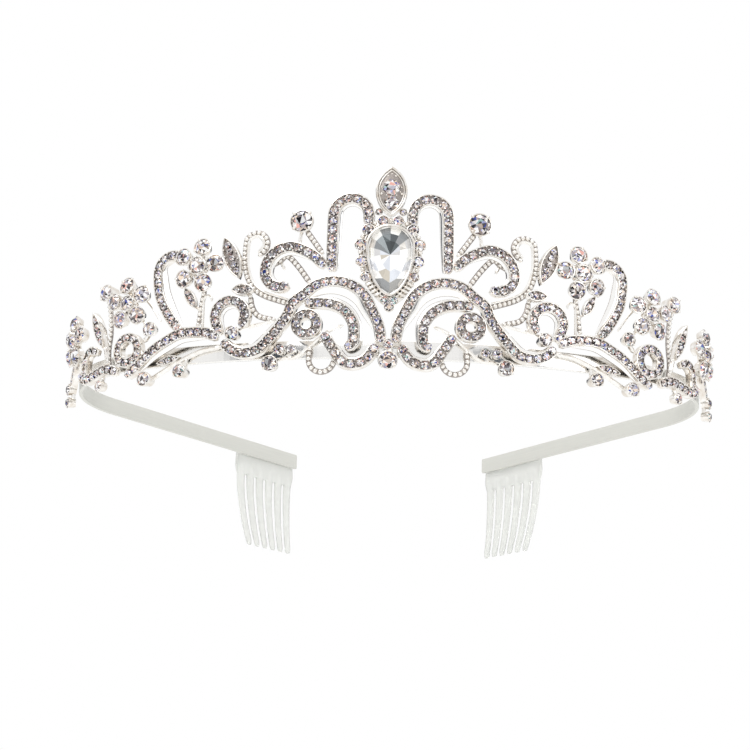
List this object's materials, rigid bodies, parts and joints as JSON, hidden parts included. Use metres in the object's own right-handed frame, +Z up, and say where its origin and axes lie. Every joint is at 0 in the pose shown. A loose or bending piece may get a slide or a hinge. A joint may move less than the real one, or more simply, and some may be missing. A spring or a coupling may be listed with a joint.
{
  "type": "bridal tiara",
  "caption": "Silver bridal tiara: springy open headband with clear side combs and a front ornament of crystal-set scrolls, flowers and leaves around a pear crystal.",
  "frame": {"origin": "middle of the wearer's head, on the plane of the headband's lower edge", "axes": "+Z up, the ornament's front faces -Y, +X towards the right side seen from the front"},
  "size_m": [0.1484, 0.1517, 0.066],
  "materials": {
    "band_metal": "satin silver-plated strip, pale grey-ivory",
    "stone_setting": "bright silver-plated casting with raised prongs",
    "beaded_wire": "bright silver-plated beaded and plain wire",
    "crystal": "clear cut glass with a mirror back, grey, lilac and champagne sparkle",
    "comb_plastic": "clear frosted moulded plastic"
  },
  "bodies": {
    "root": {"headband": "band_metal", "centre_cup": "stone_setting", "halo_setting": "stone_setting", "marquise_setting": "stone_setting", "pear_crystal": "crystal", "marquise_upper_stone": "crystal", "marquise_lower_stone": "crystal", "left_s_scroll": "stone_setting", "right_s_scroll": "stone_setting", "left_arch": "stone_setting", "right_arch": "stone_setting", "left_c_scroll": "stone_setting", "right_c_scroll": "stone_setting", "left_scroll_ring": "stone_setting", "right_scroll_ring": "stone_setting", "left_inner_scroll": "stone_setting", "right_inner_scroll": "stone_setting", "left_lower_lobe": "stone_setting", "right_lower_lobe": "stone_setting", "left_vine": "stone_setting", "right_vine": "stone_setting", "left_spiral": "stone_setting", "right_spiral": "stone_setting", "left_side_loop": "stone_setting", "right_side_loop": "stone_setting", "left_tall_leaf": "stone_setting", "right_tall_leaf": "stone_setting", "left_small_navette": "stone_setting", "right_small_navette": "stone_setting", "left_inner_flower": "stone_setting", "right_inner_flower": "stone_setting", "left_outer_flower": "stone_setting", "right_outer_flower": "stone_setting", "left_bud_pin": "stone_setting", "right_bud_pin": "stone_setting", "left_ring_link": "stone_setting", "right_ring_link": "stone_setting", "left_outer_leaf": "stone_setting", "right_outer_leaf": "stone_setting", "left_low_vine": "stone_setting", "right_low_vine": "stone_setting", "left_end_flower": "stone_setting", "right_end_flower": "stone_setting", "left_twig": "beaded_wire", "right_twig": "beaded_wire", "left_bead_loop": "beaded_wire", "right_bead_loop": "beaded_wire", "left_curl_wire": "beaded_wire", "right_curl_wire": "beaded_wire", "left_swan_wire": "beaded_wire", "right_swan_wire": "beaded_wire", "left_berry_pin": "stone_setting", "right_berry_pin": "stone_setting", "left_ball_pin": "stone_setting", "right_ball_pin": "stone_setting", "left_drop_twig": "stone_setting", "right_drop_twig": "stone_setting", "left_comb": "comb_plastic", "right_comb": "comb_plastic"}
  },
  "joints": []
}
